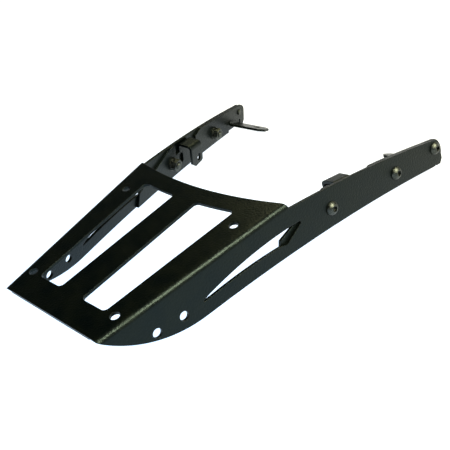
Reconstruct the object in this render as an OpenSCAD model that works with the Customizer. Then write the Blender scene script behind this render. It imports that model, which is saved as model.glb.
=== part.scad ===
// Bolt-on tail rack: one folded sheet with two arms, and the brackets and fasteners that fix it.
// +Y points forward along the arms, +Z up. The origin is the centre of the deck's top face.

/* [Deck] */
// Length of the deck on its centre line
deck_l = 188; // [150:1:240]
// Width of the deck at its rear edge, measured to the sharp corners of the bends
deck_rear_w = 128; // [110:1:150]
// Angle in plan by which each side runs outward towards the front
splay = 9.4; // [4:0.1:12]
// Radius of the hollow front edge
front_edge_r = 374; // [300:1:600]

/* [Sheet] */
// Thickness of the rack's sheet
sheet_t = 3; // [2:0.5:4]
// Outside radius of the two long bends
bend_r = 6.5; // [5:0.5:8]
// Angle by which the side flanges lean outward from square
flare = 10.5; // [0:0.5:15]

/* [Deck openings] */
// Width of the rib between the two long slots
rib_w = 29; // [20:1:40]
// Distance from the rear edge to the slots
slot_rear_gap = 25; // [18:1:35]
// Distance from the hollow front edge to the slots
slot_front_gap = 20; // [15:1:30]
// Width of each slot at its rear end
slot_rear_w = 30; // [22:1:34]
// Width of each slot at its front end
slot_front_w = 45; // [36:1:50]
// Corner radius of the slots
slot_corner_r = 4.5; // [2:0.5:8]
// Diameter of the holes for the luggage straps and the flange holes
strap_hole_d = 8.5; // [6.5:0.5:10]

/* [Flange and arm] */
// Depth of the flange at the end of its curved rear part
flange_h = 43.5; // [36:1:50]
// Length of the curved rear part of the flange
flange_rise_l = 91; // [80:1:100]
// Distance along the bend from the rear edge to the arm's front end
arm_l = 424; // [400:1:440]

/* [Fasteners] */
// Thread diameter of the screws
screw_d = 8; // [8:1:8]
// Head diameter of the button-head screws
head_d = 14; // [13:0.5:15]
// Head height of the button-head screws
head_h = 4.4; // [4:0.1:5]
// Width across flats of the hexagon socket
socket_af = 5; // [4:0.5:6]
// Width across flats of the nuts
nut_af = 13; // [12:0.5:14]
// Height of the nuts
nut_h = 6.5; // [5:0.5:7]
// Outside diameter of the washers
washer_d = 16; // [15:0.5:18]
// Thickness of the washers
washer_t = 1.6; // [1:0.1:2]

/* [Hook brackets] */
// Clear width inside the hook
hook_gap = 14.5; // [10:0.5:16]
// Length of the hook along the arm
hook_l = 22; // [16:1:24]
// Height of the hook's inner leg
hook_leg_h = 31; // [26:1:34]

/* [Front brackets] */
// Length of the bent tab, measured inward from the arm
tab_l = 55; // [45:1:62]
// Width of the bent tab
tab_w = 27; // [20:1:30]
// Angle by which the tab dips towards the front
tab_dip = 26; // [20:1:28]
// Angle by which the tab rises from square to the arm
tab_rise = 4; // [0:1:8]
// Diameter of the fixing hole in the tab
tab_hole_d = 8.5; // [6.5:0.5:10]

/* [Hidden] */

coat = [0.20, 0.22, 0.21];
dark_steel = [0.30, 0.31, 0.30];

rear_y = -deck_l / 2;
front_y = deck_l / 2;
half_rear_w = deck_rear_w / 2;
front_circle_y = front_y + front_edge_r;
// Distance from a bend's sharp corner to where its radius ends
setback = bend_r * tan((90 - flare) / 2);
// Distance along the bend line to the arm's first point
arm_start_u = deck_l / cos(splay) + 13;
bracket_t = 3;
bracket_bend_r = 5.5;
fit_gap = 0.05;

// Screw places on each arm: distance along the bend line, distance down
rear_screw = [252, 34];
middle_screw = [347, 48];
front_screw = [413.5, 54];
flange_holes = [[45, 27], [71.5, 29.5]];
deck_hole_rear = [56, rear_y + 26];
deck_hole_front = [71.5, rear_y + 155.5];

$fn = 64;

// ---------- outlines ----------

function unit(v) = v / norm(v);

// Displacement along an arc that starts at heading h and turns by the angle turn
function arc_span(h, turn, r) =
    sign(turn) * r * [sin(h + turn) - sin(h), cos(h) - cos(h + turn)];

// Points of that arc, starting at p
function arc_points(p, h, turn, r, n) =
    [for (i = [0:n]) p + (i == 0 ? [0, 0] : arc_span(h, turn * i / n, r))];

// Arc that replaces corner b of the path a-b-c, radius r
function corner_arc(a, b, c, r, n = 6) =
    let (
        ua = unit(a - b),
        uc = unit(c - b),
        half = acos(ua * uc) / 2,
        centre = b + unit(ua + uc) * r / sin(half),
        start = b + ua * r / tan(half) - centre,
        end = b + uc * r / tan(half) - centre,
        a0 = atan2(start[1], start[0]),
        raw = atan2(end[1], end[0]) - a0,
        turn = raw > 180 ? raw - 360 : (raw < -180 ? raw + 360 : raw)
    )
    [for (i = [0:n]) centre + r * [cos(a0 + turn * i / n), sin(a0 + turn * i / n)]];

// ---------- the arm's frame ----------

// Local x runs forward along the bend line, local y down the flange, local z inward
module on_right_flange() {
    translate([half_rear_w, rear_y, 0])
        rotate([0, 0, -splay])
            rotate([0, -flare, 0])
                rotate([-90, 0, 90])
                    children();
}

// side is +1 on the right and -1 on the left
module on_side(side) {
    mirror([side < 0 ? 1 : 0, 0, 0])
        on_right_flange()
            children();
}

// ---------- rack plate ----------

bottom_heading = 0.7;
rear_heading = 48;
rear_rise_r = 123;
bottom_r = 1920;
top_r = 1613;
top_heading = 6.8;

rise_end = [flange_rise_l, flange_h];
rise_start = rise_end - arc_span(rear_heading, bottom_heading - rear_heading, rear_rise_r);
rear_rise = arc_points(rise_start, rear_heading, bottom_heading - rear_heading, rear_rise_r, 24);
arm_bottom = arc_points(rise_end, bottom_heading, 9.5, bottom_r, 12);
arm_top = arc_points([arm_start_u, setback], top_heading, 7.4, top_r, 12);
arm_bottom_end = arm_bottom[12];
arm_top_end = arm_top[12];

// Height of an arc at u, given its start, heading and radius
function arc_v(start, h, r, u) =
    let (c = start + r * [-sin(h), cos(h)])
    c[1] - sqrt(r * r - pow(u - c[0], 2));

function arm_bottom_v(u) = arc_v(rise_end, bottom_heading, bottom_r, u);
function arm_top_v(u) = arc_v([arm_start_u, setback], top_heading, top_r, u);

function reversed(path) = [for (i = [len(path) - 1:-1:0]) path[i]];

arm_nose = [
    each corner_arc(arm_bottom_end, [arm_l, arm_bottom_end[1] + 0.5], [arm_l, 50], 15),
    each corner_arc([arm_l, 60], [arm_l, arm_top_end[1] + 3.5], arm_top_end, 13)
];

// Region outside the flange and arm, up to a box well clear of them
module flange_surround() {
    polygon(concat(
        [for (p = rear_rise) if (p[1] > setback) p],
        arm_bottom,
        arm_nose,
        reversed(arm_top),
        [[arm_l + 30, setback], [arm_l + 30, 130], [-20, 130], [-20, setback + 3]]
    ));
}

// Long narrow opening in the flange: two shallow arcs and a slanted front edge
module flange_opening() {
    top = [for (u = [100:9:208]) [u, 21 + pow(u - 170, 2) / 788]];
    bottom = [for (u = [184:-9:100]) [u, 30.2 + pow(u - 122, 2) / 1080]];
    polygon(concat(
        corner_arc(bottom[9], [86.5, 30.6], top[0], 0.8),
        top,
        corner_arc(top[12], [216.5, 23.9], [192, 35.4], 1.6),
        corner_arc([214, 25], [190.5, 36.1], bottom[0], 3.5),
        bottom
    ));
}

// Section of one side: a strip of the deck, the bend and the flange, in one piece
module side_section() {
    steps = 16;
    sweep = 90 - flare;
    down = [sin(flare), -cos(flare)];
    across = [-cos(flare), -sin(flare)];
    centre = [-setback, -bend_r];
    polygon(concat(
        [[-40, 0]],
        [for (i = [0:steps]) let (a = 90 - sweep * i / steps) centre + bend_r * [cos(a), sin(a)]],
        [down * 95, down * 95 + across * sheet_t],
        [for (i = [steps:-1:0])
            let (a = 90 - sweep * i / steps)
            centre + (bend_r - sheet_t) * [cos(a), sin(a)]],
        [[-40, -sheet_t]]
    ));
}

module side_sheet() {
    translate([half_rear_w, rear_y, 0])
        rotate([0, 0, -splay])
            translate([0, arm_l + 20, 0])
                rotate([90, 0, 0])
                    linear_extrude(arm_l + 36)
                        side_section();
}

// The hollow front edge, which ends where the arm begins
module front_hollow() {
    intersection() {
        translate([0, front_circle_y, -60])
            cylinder(r = front_edge_r, h = 80, $fn = 360);
        on_right_flange()
            translate([0, -90, -30])
                cube([arm_l + 60, 90 + setback, 130]);
    }
}

module side_piece() {
    difference() {
        side_sheet();
        front_hollow();
        on_right_flange() {
            translate([0, 0, -2])
                linear_extrude(sheet_t + 4)
                    flange_surround();
            translate([0, 0, -1])
                linear_extrude(sheet_t + 2)
                    flange_opening();
            rear_rise_cut();
            arm_holes();
        }
    }
}

// Middle of the deck, which runs under the two side pieces
module deck() {
    side = half_rear_w - 22;
    difference() {
        translate([0, 0, -sheet_t])
            linear_extrude(sheet_t)
                polygon([
                    [-side, rear_y],
                    [side, rear_y],
                    [side + 240 * tan(splay), rear_y + 240],
                    [-(side + 240 * tan(splay)), rear_y + 240]
                ]);
        translate([0, front_circle_y, -60])
            cylinder(r = front_edge_r, h = 80, $fn = 360);
    }
}

// Slot on the right of the rib; its front edge runs parallel to the deck's front edge
module deck_slot() {
    inner = rib_w / 2;
    r = front_edge_r + slot_front_gap;
    y0 = rear_y + slot_rear_gap;
    outer_front = inner + slot_front_w;
    function front_at(x) = front_circle_y - sqrt(r * r - x * x);
    front = [for (x = [inner + 5:4:outer_front - 5]) [x, front_at(x)]];
    last = front[len(front) - 1];
    rear_outer = [inner + slot_rear_w, y0];
    polygon(concat(
        corner_arc([inner, 0], [inner, y0], rear_outer, slot_corner_r),
        corner_arc([inner, y0], rear_outer, [outer_front, front_at(outer_front)], slot_corner_r),
        corner_arc(rear_outer, [outer_front, front_at(outer_front)], last, slot_corner_r),
        reversed(front),
        corner_arc(front[0], [inner, front_at(inner)], [inner, y0], slot_corner_r)
    ));
}

module deck_holes() {
    for (hole = [deck_hole_rear, deck_hole_front])
        translate([hole[0], hole[1], -sheet_t - 1])
            cylinder(d = strap_hole_d, h = sheet_t + 2);
}

// Everything outside the curved rear edge of the flange, where it crosses the bend
module rear_rise_cut() {
    run_on = rise_start - 6 * [cos(rear_heading), sin(rear_heading)];
    translate([0, 0, -2])
        linear_extrude(bend_r + 6)
            polygon(concat(
                [run_on],
                [for (p = rear_rise) if (p[0] < 24) p],
                [[10, 40], [-20, 40], [-20, run_on[1]]]
            ));
}

module arm_holes() {
    for (place = concat(flange_holes, [rear_screw, middle_screw, front_screw]))
        translate([place[0], place[1], -1])
            cylinder(d = strap_hole_d, h = sheet_t + 2);
}

module rack_plate() {
    color(coat)
        difference() {
            union() {
                deck();
                for (side = [-1, 1])
                    mirror([side < 0 ? 1 : 0, 0, 0])
                        side_piece();
            }
            translate([-150, rear_y - 50, -60])
                cube([300, 50, 80]);
            for (side = [-1, 1])
                mirror([side < 0 ? 1 : 0, 0, 0]) {
                    translate([0, 0, -sheet_t - 1])
                        linear_extrude(sheet_t + 2)
                            deck_slot();
                    deck_holes();
                }
        }
}

// ---------- brackets ----------

// Arc of a fold's section, round a centre, in equal steps from angle a0 to a1
function fold_arc(centre, r, a0, a1, steps = 10) =
    [for (i = [0:steps]) let (a = a0 + (a1 - a0) * i / steps) centre + r * [sin(a), -cos(a)]];

// Strip of the given section [y, z], running along local x
module folded_strip(length) {
    rotate([90, 0, 90])
        linear_extrude(length)
            children();
}

// Slot with round ends along local y, cut through local z
module long_hole(l, d, z, h) {
    straight = (l - d) / 2;
    translate([0, 0, z])
        linear_extrude(h)
            polygon([
                for (end = [1, -1])
                    for (i = [0:12])
                        let (a = (end > 0 ? 0 : 180) + 15 * i)
                        [0, end * straight] + d / 2 * [cos(a), sin(a)]
            ]);
}

hook_at = [268, 15.6];
hook_tilt = 9.6;
hook_front = hook_at[0] + hook_l;
hook_plate_rear = 180;

// The plate that lies on the arm's inner face, below the hook
module hook_plate() {
    run = [for (u = [hook_plate_rear:14:292]) [u, arm_bottom_v(u)]];
    linear_extrude(bracket_t)
        polygon(concat(
            run,
            [
                [292, 27],
                [260, 27],
                [260, arm_top_v(260) + 0.5],
                [251, arm_top_v(251) + 0.6],
                [186.5, 30.5]
            ]
        ));
}

// Strip folded over twice, running along the arm's top edge
module hook_strip() {
    w = hook_gap + 2 * bracket_t;
    r = bracket_bend_r;
    ri = r - bracket_t;
    first = [r, r];
    second = [r, w - r];
    translate([-4, 0, 0])
        folded_strip(hook_l + 14)
            polygon(concat(
                [[r + 7, 0]],
                fold_arc(first, r, 0, -90),
                fold_arc(second, r, -90, -180),
                [[r + 40, w], [r + 40, w - bracket_t]],
                fold_arc(second, ri, -180, -90),
                fold_arc(first, ri, -90, 0),
                [[r + 7, bracket_t]]
            ));
}

// What is cut off the strip and the plate to leave the hook's own outline
module hook_surround() {
    foot = hook_at[1] + hook_leg_h;
    translate([0, 0, 4])
        linear_extrude(30)
            polygon([
                [hook_at[0], 0],
                [hook_at[0], foot - 6],
                [hook_at[0] + 6, foot],
                [hook_front - 2, foot],
                [hook_front, foot - 2],
                [hook_front, 0],
                [hook_front + 30, 0],
                [hook_front + 30, 90],
                [hook_at[0] - 30, 90],
                [hook_at[0] - 30, 0]
            ]);
    translate([260, 5, -1])
        cube([hook_at[0] - 260, 22, 8]);
    translate([hook_front, 0, -1])
        cube([30, 90, 8]);
}

module hook_bracket(side) {
    color(coat)
        on_side(side)
            translate([0, 0, sheet_t + fit_gap])
                difference() {
                    union() {
                        hook_plate();
                        translate([hook_at[0], hook_at[1], 0])
                            rotate([0, 0, hook_tilt])
                                hook_strip();
                    }
                    hook_surround();
                    translate([rear_screw[0], rear_screw[1], -1])
                        cylinder(d = screw_d + 2 * fit_gap, h = bracket_t + 2);
                    translate([270, 37, 0])
                        long_hole(15, strap_hole_d, -1, bracket_t + 2);
                    translate([hook_at[0] + 14, 37.5, 0])
                        long_hole(10.5, 6.5, hook_gap, 2 * bracket_t + 2);
                }
}

tab_at = [385.5, 59.6];
front_bracket_rear = 304;
// The bracket stands a little beyond the arm's front end
front_bracket_end = arm_l + 3;

module front_plate() {
    top = [for (u = [398:-13.5:317]) [u, arm_top_v(u)]];
    foot = [for (u = [front_bracket_rear:16:384]) [u, arm_bottom_v(u)]];
    nose_top = [front_bracket_end, arm_top_end[1] + 3.9];
    linear_extrude(bracket_t)
        polygon(concat(
            foot,
            [
                [384, 53],
                [390, 53],
                [412, 64],
                [416, 66],
                [416.5, 77],
                [423, 78],
                [front_bracket_end, 73]
            ],
            corner_arc([front_bracket_end, 60], nose_top, arm_top_end, 13),
            top,
            [[front_bracket_rear, arm_top_v(front_bracket_rear) + 6]]
        ));
}

// Tab folded inward below the arm, seen in the fold line's own frame: x along it, y down
module front_tab() {
    r = bracket_bend_r;
    turn = 90 + tab_rise;
    reach = tab_l - sheet_t - r;
    chamfer = 7;
    centre = [-r, r];
    run = reach * [cos(turn), sin(turn)];
    tip = centre + r * [sin(turn), -cos(turn)] + run;
    tip_top = centre + (r - bracket_t) * [sin(turn), -cos(turn)] + run;
    difference() {
        folded_strip(tab_w)
            polygon(concat(
                [[-14, 0]],
                fold_arc(centre, r, 0, turn),
                [tip, tip_top],
                fold_arc(centre, r - bracket_t, turn, 0),
                [[-14, bracket_t]]
            ));
        translate([0, -r, r])
            rotate([tab_rise, 0, 0])
                translate([0, r + 1, 0])
                    rotate([90, 0, 0]) {
                        for (edge = [0, 1])
                            translate([edge * tab_w, reach, 0])
                                mirror([edge, 0, 0])
                                    linear_extrude(bracket_t + 2)
                                        polygon([[-1, -chamfer - 1], [chamfer + 1, 1], [-1, 1]]);
                        translate([tab_w / 2, reach - 15, 0])
                            cylinder(d = tab_hole_d, h = bracket_t + 2);
                    }
    }
}

module front_bracket(side) {
    color(coat)
        on_side(side)
            translate([0, 0, sheet_t + fit_gap])
                difference() {
                    union() {
                        front_plate();
                        translate([tab_at[0], tab_at[1], 0])
                            rotate([0, 0, tab_dip])
                                front_tab();
                    }
                    translate([middle_screw[0], middle_screw[1], -1])
                        cylinder(d = strap_hole_d, h = bracket_t + 2);
                    translate([front_screw[0], front_screw[1], -1])
                        cylinder(d = screw_d + 2 * fit_gap, h = bracket_t + 2);
                }
}

// ---------- fasteners ----------

rim_h = 0.8;
flat_r = 0.68 * socket_af;
dome_z = ((pow(head_d / 2, 2) - pow(flat_r, 2)) / (head_h - rim_h) - head_h - rim_h) / 2;
dome_r = norm([head_d / 2, dome_z + rim_h]);
// Where the washer starts, measured inward from the arm's outer face
washer_w = sheet_t + bracket_t + 2 * fit_gap;

// Button-head screw: the head's underside is at z = 0 and the thread runs inward
module button_screw(length) {
    difference() {
        rotate_extrude()
            polygon(concat(
                [[0, -head_h]],
                [for (i = [0:8])
                    let (x = flat_r + (head_d / 2 - flat_r) * i / 8)
                    [x, dome_z - sqrt(dome_r * dome_r - x * x)]],
                [
                    [head_d / 2, 0],
                    [screw_d / 2, 0],
                    [screw_d / 2, length - 1],
                    [screw_d / 2 - 0.9, length],
                    [0, length]
                ]
            ));
        translate([0, 0, -head_h - 1])
            rotate([0, 0, 30])
                cylinder(d = socket_af / cos(30), h = 3.6, $fn = 6);
    }
}

module screw_at(place, side, length) {
    color(dark_steel)
        on_side(side)
            translate([place[0], place[1], 0])
                button_screw(length);
}

module washer_at(place, side) {
    color(dark_steel)
        on_side(side)
            translate([place[0], place[1], washer_w])
                difference() {
                    cylinder(d = washer_d, h = washer_t);
                    translate([0, 0, -1])
                        cylinder(d = screw_d + 0.4, h = washer_t + 2);
                }
}

module nut_at(place, side) {
    corner_r = nut_af / 2 / cos(30);
    color(dark_steel)
        on_side(side)
            translate([place[0], place[1], washer_w + washer_t])
                difference() {
                    intersection() {
                        cylinder(r = corner_r, h = nut_h, $fn = 6);
                        rotate_extrude()
                            polygon([
                                [0, 0],
                                [nut_af / 2 - 0.2, 0],
                                [corner_r, 0.6],
                                [corner_r, nut_h - 0.6],
                                [nut_af / 2 - 0.2, nut_h],
                                [0, nut_h]
                            ]);
                    }
                    translate([0, 0, -1])
                        cylinder(d = screw_d + 2 * fit_gap, h = nut_h + 2);
                }
}

rack_plate();
hook_bracket(-1);  // hook_bracket_left
hook_bracket(1);  // hook_bracket_right
front_bracket(-1);  // front_bracket_left
front_bracket(1);  // front_bracket_right
screw_at(rear_screw, -1, 16);  // rear_screw_left
screw_at(rear_screw, 1, 16);  // rear_screw_right
screw_at(middle_screw, -1, 16);  // middle_screw_left
screw_at(middle_screw, 1, 16);  // middle_screw_right
screw_at(front_screw, -1, 8);  // front_screw_left
screw_at(front_screw, 1, 8);  // front_screw_right
washer_at(rear_screw, -1);  // rear_washer_left
washer_at(rear_screw, 1);  // rear_washer_right
washer_at(middle_screw, -1);  // middle_washer_left
washer_at(middle_screw, 1);  // middle_washer_right
nut_at(rear_screw, -1);  // rear_nut_left
nut_at(rear_screw, 1);  // rear_nut_right
nut_at(middle_screw, -1);  // middle_nut_left
nut_at(middle_screw, 1);  // middle_nut_right
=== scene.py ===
import math

import bmesh
import bpy
from mathutils import Matrix, Vector


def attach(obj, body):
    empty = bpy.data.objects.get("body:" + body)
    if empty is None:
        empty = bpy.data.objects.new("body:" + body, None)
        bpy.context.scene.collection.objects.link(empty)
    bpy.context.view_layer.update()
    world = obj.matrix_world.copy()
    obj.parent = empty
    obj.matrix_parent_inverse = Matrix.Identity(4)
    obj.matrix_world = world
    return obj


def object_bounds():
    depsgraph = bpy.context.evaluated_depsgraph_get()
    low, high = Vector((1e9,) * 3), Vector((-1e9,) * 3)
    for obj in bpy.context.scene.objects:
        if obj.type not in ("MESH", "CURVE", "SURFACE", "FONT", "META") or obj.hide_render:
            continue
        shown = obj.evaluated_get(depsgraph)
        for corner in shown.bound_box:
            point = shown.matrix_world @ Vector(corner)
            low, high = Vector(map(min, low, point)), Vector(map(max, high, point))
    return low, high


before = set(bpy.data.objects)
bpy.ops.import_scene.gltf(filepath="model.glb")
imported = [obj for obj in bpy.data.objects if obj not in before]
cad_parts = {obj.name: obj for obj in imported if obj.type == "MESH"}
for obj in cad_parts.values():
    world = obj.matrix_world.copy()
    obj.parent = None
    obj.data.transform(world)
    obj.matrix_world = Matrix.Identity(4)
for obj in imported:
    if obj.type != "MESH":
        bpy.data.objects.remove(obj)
CAD_BOUNDS = [[float(c) for c in corner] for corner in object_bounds()]

SIDES = (("left", -1), ("right", 1))

# Where the bends' sharp corners start at the deck's rear edge, and how the arms run from there
HALF_REAR_W = 0.064
REAR_Y = -0.094
SPLAY = math.radians(9.4)
FLARE = math.radians(10.5)

# Screws that have nuts: distance forward along the bend, distance down the flange
REAR_SCREW = (0.252, 0.034)
MIDDLE_SCREW = (0.347, 0.048)
# The nut's free face, measured inward from the arm's outer face
NUT_FACE_W = 0.0142
SHANK_R = 0.004
THREAD_PITCH = 0.00125
THREAD_TURNS = 1.25
THREAD_STEPS = 60
# Part of the pitch that the ridge climbs in one turn, which keeps it on the short stub
THREAD_CLIMB = 0.62
CREST_LIFT = 0.00022
ROOT_SINK = 0.0001

COAT_DARK = (0.0003, 0.0009, 0.0010)
COAT_PALE = (0.0012, 0.0018, 0.0011)
COAT_RUBBED = (0.030, 0.031, 0.026)
COAT_EDGE_R = 0.0007
# The brackets' coat is painted a little paler than the rack's: painted light for the light that falls
# on the brackets
BRACKET_PAINTED_LIGHT = 1.2
STEEL_DARK = (0.028, 0.032, 0.029)
STEEL_PALE = (0.078, 0.085, 0.074)
STEEL_EDGE_R = 0.0003

FLOOR_GAP = 0.0005
FLOOR_HALF_SIZE = 14
# The floor's glow turns from cool to warm between these two Y values
COOL_Y = 0.0
WARM_Y = 0.35
COOL_GLOW = (0.67, 0.86, 1.10)
WARM_GLOW = (0.67, 0.68, 0.67)
HORIZON = (0.93, 0.95, 0.96)
OVERHEAD = (0.014, 0.020, 0.023)

# Each light: direction from the origin, distance, size, power, colour
SOFTBOXES = {
    "front_softbox": ((-0.24, 0.76, 0.60), 1.6, (0.7, 0.5), 7, (1.0, 0.92, 0.54)),
    "right_strip": ((0.66, 0.23, 0.70), 1.5, (0.95, 0.34), 62, (1.0, 0.94, 0.68)),
    "rear_fill": ((0.55, -0.75, 0.35), 2.0, (1.0, 1.0), 2, (0.70, 0.92, 1.0)),
}

EYE = (0.37452, -0.21778, 0.30529)
LOOK = (-0.6019, 0.5359, -0.5921)
UP = (-0.2597, 0.5698, 0.7797)
LENS_MM = 46.97
SENSOR_MM = 36


# ---------- placing things on the arms ----------

def arm_axes(side):
    """Origin and unit axes of an arm: forward along the bend, down the flange, and inward."""
    forward = Vector((side * math.sin(SPLAY), math.cos(SPLAY), 0))
    down = Vector((side * math.sin(FLARE) * math.cos(SPLAY),
                   -math.sin(FLARE) * math.sin(SPLAY), -math.cos(FLARE)))
    inward = Vector((-side * math.cos(FLARE) * math.cos(SPLAY),
                     math.cos(FLARE) * math.sin(SPLAY), -math.sin(FLARE)))
    return Vector((side * HALF_REAR_W, REAR_Y, 0)), forward, down, inward


def on_arm(side, place, w):
    """Point on an arm: place is (forward, down), and w is measured inward from the outer face."""
    origin, forward, down, inward = arm_axes(side)
    return origin + place[0] * forward + place[1] * down + w * inward


# ---------- materials ----------

def new_material(name):
    material = bpy.data.materials.new(name)
    material.use_nodes = True
    tree = material.node_tree
    return material, tree, tree.nodes["Principled BSDF"]


def add(tree, kind, **settings):
    node = tree.nodes.new(kind)
    for key, value in settings.items():
        setattr(node, key, value)
    return node


def noise(tree, coords, scale, detail=3.0, roughness=0.5):
    node = add(tree, "ShaderNodeTexNoise")
    node.inputs["Scale"].default_value = scale
    node.inputs["Detail"].default_value = detail
    node.inputs["Roughness"].default_value = roughness
    tree.links.new(coords, node.inputs["Vector"])
    return node.outputs["Fac"]


def remap(tree, value, low, high, to_low, to_high):
    node = add(tree, "ShaderNodeMapRange")
    node.inputs["From Min"].default_value = low
    node.inputs["From Max"].default_value = high
    node.inputs["To Min"].default_value = to_low
    node.inputs["To Max"].default_value = to_high
    tree.links.new(value, node.inputs["Value"])
    return node.outputs["Result"]


def math_node(tree, operation, a, b):
    node = add(tree, "ShaderNodeMath", operation=operation)
    for socket, value in zip(node.inputs, (a, b)):
        if isinstance(value, (int, float)):
            socket.default_value = value
        else:
            tree.links.new(value, socket)
    return node.outputs["Value"]


def mix_colour(tree, factor, a, b):
    node = add(tree, "ShaderNodeMix", data_type="RGBA")
    tree.links.new(factor, node.inputs["Factor"])
    for key, value in (("A", a), ("B", b)):
        socket = [s for s in node.inputs if s.name == key and s.type == "RGBA"][0]
        if isinstance(value, tuple):
            socket.default_value = (*value, 1)
        else:
            tree.links.new(value, socket)
    return [s for s in node.outputs if s.type == "RGBA"][0]


def rounded_normal(tree, radius):
    node = add(tree, "ShaderNodeBevel", samples=6)
    node.inputs["Radius"].default_value = radius
    return node.outputs["Normal"]


def edge_mask(tree, normal, sharpness):
    """0 on the flats, rising to 1 on the edges, where the rounded normal leaves the true one."""
    geometry = add(tree, "ShaderNodeNewGeometry")
    dot = add(tree, "ShaderNodeVectorMath", operation="DOT_PRODUCT")
    tree.links.new(normal, dot.inputs[0])
    tree.links.new(geometry.outputs["True Normal"], dot.inputs[1])
    return remap(tree, dot.outputs["Value"], 1.0, 1.0 - sharpness, 0.0, 1.0)


def bump(tree, normal, height, distance, strength=1.0):
    node = add(tree, "ShaderNodeBump")
    node.inputs["Distance"].default_value = distance
    node.inputs["Strength"].default_value = strength
    tree.links.new(height, node.inputs["Height"])
    tree.links.new(normal, node.inputs["Normal"])
    return node.outputs["Normal"]


def powder_coat(name, painted_lightness=1.0):
    """Satin black powder coat: a fine orange peel, faint mottling, and rubbed edges."""
    material, tree, shader = new_material(name)
    coords = add(tree, "ShaderNodeTexCoord").outputs["Object"]
    normal = rounded_normal(tree, COAT_EDGE_R)
    mottle = noise(tree, coords, 55, 4)
    fine = noise(tree, coords, 900, 2)
    # painted_lightness scales the coat's colours paler as painted light; 1.0 leaves the coat as it is
    dark = tuple(painted_lightness * c for c in COAT_DARK)
    pale = tuple(painted_lightness * c for c in COAT_PALE)
    coat = mix_colour(tree, remap(tree, mottle, 0.35, 0.65, 0, 1), dark, pale)
    rub = math_node(tree, "MULTIPLY", edge_mask(tree, normal, 0.30),
                    remap(tree, noise(tree, coords, 130, 4, 0.7), 0.42, 0.70, 0, 1))
    coat = mix_colour(tree, rub, coat, COAT_RUBBED)
    tree.links.new(coat, shader.inputs["Base Color"])
    rough = math_node(tree, "ADD", remap(tree, mottle, 0.3, 0.7, 0.30, 0.37),
                      remap(tree, fine, 0.3, 0.7, -0.03, 0.03))
    tree.links.new(rough, shader.inputs["Roughness"])
    shader.inputs["IOR"].default_value = 1.45
    shader.inputs["Specular IOR Level"].default_value = 0.18
    shader.inputs["Specular Tint"].default_value = (0.74, 0.98, 0.92, 1)
    peel = bump(tree, normal, noise(tree, coords, 560, 2), 0.00030, 0.9)
    grain = bump(tree, peel, noise(tree, coords, 2600, 1), 0.00003, 0.5)
    tree.links.new(grain, shader.inputs["Normal"])
    return material


def dark_steel(name, axis):
    """Dark oxide on turned steel: fine rings around the fastener's axis, and a mottled sheen."""
    material, tree, shader = new_material(name)
    coords = add(tree, "ShaderNodeTexCoord").outputs["Object"]
    along = add(tree, "ShaderNodeVectorMath", operation="DOT_PRODUCT")
    tree.links.new(coords, along.inputs[0])
    along.inputs[1].default_value = axis
    rings = add(tree, "ShaderNodeTexNoise", noise_dimensions="1D")
    rings.inputs["Scale"].default_value = 6000
    rings.inputs["Detail"].default_value = 2
    tree.links.new(along.outputs["Value"], rings.inputs["W"])
    normal = rounded_normal(tree, STEEL_EDGE_R)
    mottle = noise(tree, coords, 420, 4, 0.6)
    colour = mix_colour(tree, remap(tree, mottle, 0.35, 0.65, 0, 1), STEEL_DARK, STEEL_PALE)
    tree.links.new(colour, shader.inputs["Base Color"])
    shader.inputs["Metallic"].default_value = 1.0
    tree.links.new(remap(tree, mottle, 0.3, 0.7, 0.34, 0.52), shader.inputs["Roughness"])
    lathe = bump(tree, normal, rings.outputs["Fac"], 0.00004, 0.5)
    tree.links.new(bump(tree, lathe, mottle, 0.00008, 0.3), shader.inputs["Normal"])
    return material


COAT = powder_coat("black_powder_coat")
# The brackets get the same coat painted paler, as painted light
BRACKET_LIT_COAT = powder_coat("bracket_lit_powder_coat", BRACKET_PAINTED_LIGHT)
STEEL = {name: dark_steel("dark_steel_" + name, arm_axes(side)[3]) for name, side in SIDES}

for name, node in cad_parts.items():
    if "bracket" in name:
        material = BRACKET_LIT_COAT
    elif name == "rack_plate":
        material = COAT
    else:
        material = STEEL["left" if name.endswith("left") else "right"]
    for material_slot in node.material_slots:
        material_slot.material = material


# ---------- threads ----------

def thread_ridge(name, side, place):
    """The thread's crest where the screw stands out of its nut: a helix with a pointed section."""
    _, forward, down, _ = arm_axes(side)
    half_base = 0.45 * THREAD_PITCH / 2
    mesh = bpy.data.meshes.new(name)
    bm = bmesh.new()
    rows = []
    for i in range(THREAD_STEPS + 1):
        t = i / THREAD_STEPS
        angle = 2 * math.pi * THREAD_TURNS * t
        # The crest rises over the first sixth and falls over the last
        fade = min(1, 6 * t, 6 * (1 - t))
        w = NUT_FACE_W + ROOT_SINK + half_base + THREAD_TURNS * THREAD_PITCH * t * THREAD_CLIMB
        row = []
        for dw, lift in ((-half_base, -ROOT_SINK), (0, CREST_LIFT * fade), (half_base, -ROOT_SINK)):
            radial = math.cos(angle) * forward + math.sin(angle) * down
            point = on_arm(side, place, w + dw) + (SHANK_R + lift) * radial
            row.append(bm.verts.new(point))
        rows.append(row)
    for a, b in zip(rows, rows[1:]):
        for k in range(3):
            bm.faces.new((a[k], a[(k + 1) % 3], b[(k + 1) % 3], b[k]))
    bm.faces.new(rows[0])
    bm.faces.new(rows[-1])
    bmesh.ops.recalc_face_normals(bm, faces=bm.faces)
    bm.to_mesh(mesh)
    bm.free()
    piece = bpy.data.objects.new(name, mesh)
    bpy.context.scene.collection.objects.link(piece)
    mesh.materials.append(STEEL["left" if side < 0 else "right"])
    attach(piece, "rack")


for label, side in SIDES:
    thread_ridge("rear_thread_" + label, side, REAR_SCREW)
    thread_ridge("middle_thread_" + label, side, MIDDLE_SCREW)


# ---------- floor, light and camera ----------

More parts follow.
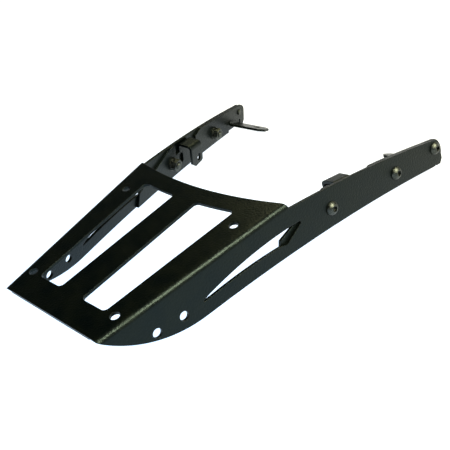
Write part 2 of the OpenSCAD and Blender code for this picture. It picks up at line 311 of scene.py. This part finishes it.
def floor():
    """White floor whose glow lights the rack from below, cool at the rear and warm at the front."""
    low = CAD_BOUNDS[0][2] - FLOOR_GAP
    size = FLOOR_HALF_SIZE
    mesh = bpy.data.meshes.new("floor")
    mesh.from_pydata([(-size, -size, low), (size, -size, low), (size, size, low), (-size, size, low)],
                     [], [(0, 1, 2, 3)])
    plane = bpy.data.objects.new("floor", mesh)
    bpy.context.scene.collection.objects.link(plane)
    material, tree, shader = new_material("pale_floor")
    split = add(tree, "ShaderNodeSeparateXYZ")
    tree.links.new(add(tree, "ShaderNodeTexCoord").outputs["Object"], split.inputs[0])
    forward = remap(tree, split.outputs["Y"], COOL_Y, WARM_Y, 0, 1)
    glow = mix_colour(tree, forward, COOL_GLOW, WARM_GLOW)
    tree.links.new(glow, shader.inputs["Emission Color"])
    shader.inputs["Emission Strength"].default_value = 1.5
    shader.inputs["Base Color"].default_value = (0.2, 0.2, 0.2, 1)
    shader.inputs["Roughness"].default_value = 0.9
    shader.inputs["Specular IOR Level"].default_value = 0.1
    mesh.materials.append(material)


def softbox(name, direction, distance, size, power, colour):
    """Rectangular light that stands at a distance in a direction and faces the origin."""
    data = bpy.data.lights.new(name, "AREA")
    data.shape = "RECTANGLE"
    data.size, data.size_y = size
    data.energy = power
    data.color = colour
    lamp = bpy.data.objects.new(name, data)
    bpy.context.scene.collection.objects.link(lamp)
    way = Vector(direction).normalized()
    lamp.location = way * distance
    lamp.rotation_euler = way.to_track_quat("Z", "Y").to_euler()


def studio_world():
    """Bright near the horizon like a pale cyclorama, and dim overhead."""
    world = bpy.data.worlds.new("studio")
    bpy.context.scene.world = world
    world.use_nodes = True
    tree = world.node_tree
    background = tree.nodes["Background"]
    coords = add(tree, "ShaderNodeTexCoord").outputs["Generated"]
    split = add(tree, "ShaderNodeSeparateXYZ")
    tree.links.new(coords, split.inputs[0])
    height = remap(tree, split.outputs["Z"], 0.06, 0.20, 0, 1)
    colour = mix_colour(tree, height, HORIZON, OVERHEAD)
    tree.links.new(colour, background.inputs["Color"])
    background.inputs["Strength"].default_value = 1.0


def camera():
    data = bpy.data.cameras.new("camera")
    data.sensor_width = SENSOR_MM
    data.lens = LENS_MM
    data.clip_start = 0.01
    data.dof.use_dof = False
    eye = bpy.data.objects.new("camera", data)
    bpy.context.scene.collection.objects.link(eye)
    look = Vector(LOOK).normalized()
    up = Vector(UP)
    up = (up - up.dot(look) * look).normalized()
    across = look.cross(up)
    turn = Matrix((across, up, -look)).transposed().to_4x4()
    eye.matrix_world = Matrix.Translation(EYE) @ turn
    bpy.context.scene.camera = eye


floor()
studio_world()
for name, settings in SOFTBOXES.items():
    softbox(name, *settings)
camera()
bpy.context.scene.view_settings.view_transform = "Standard"
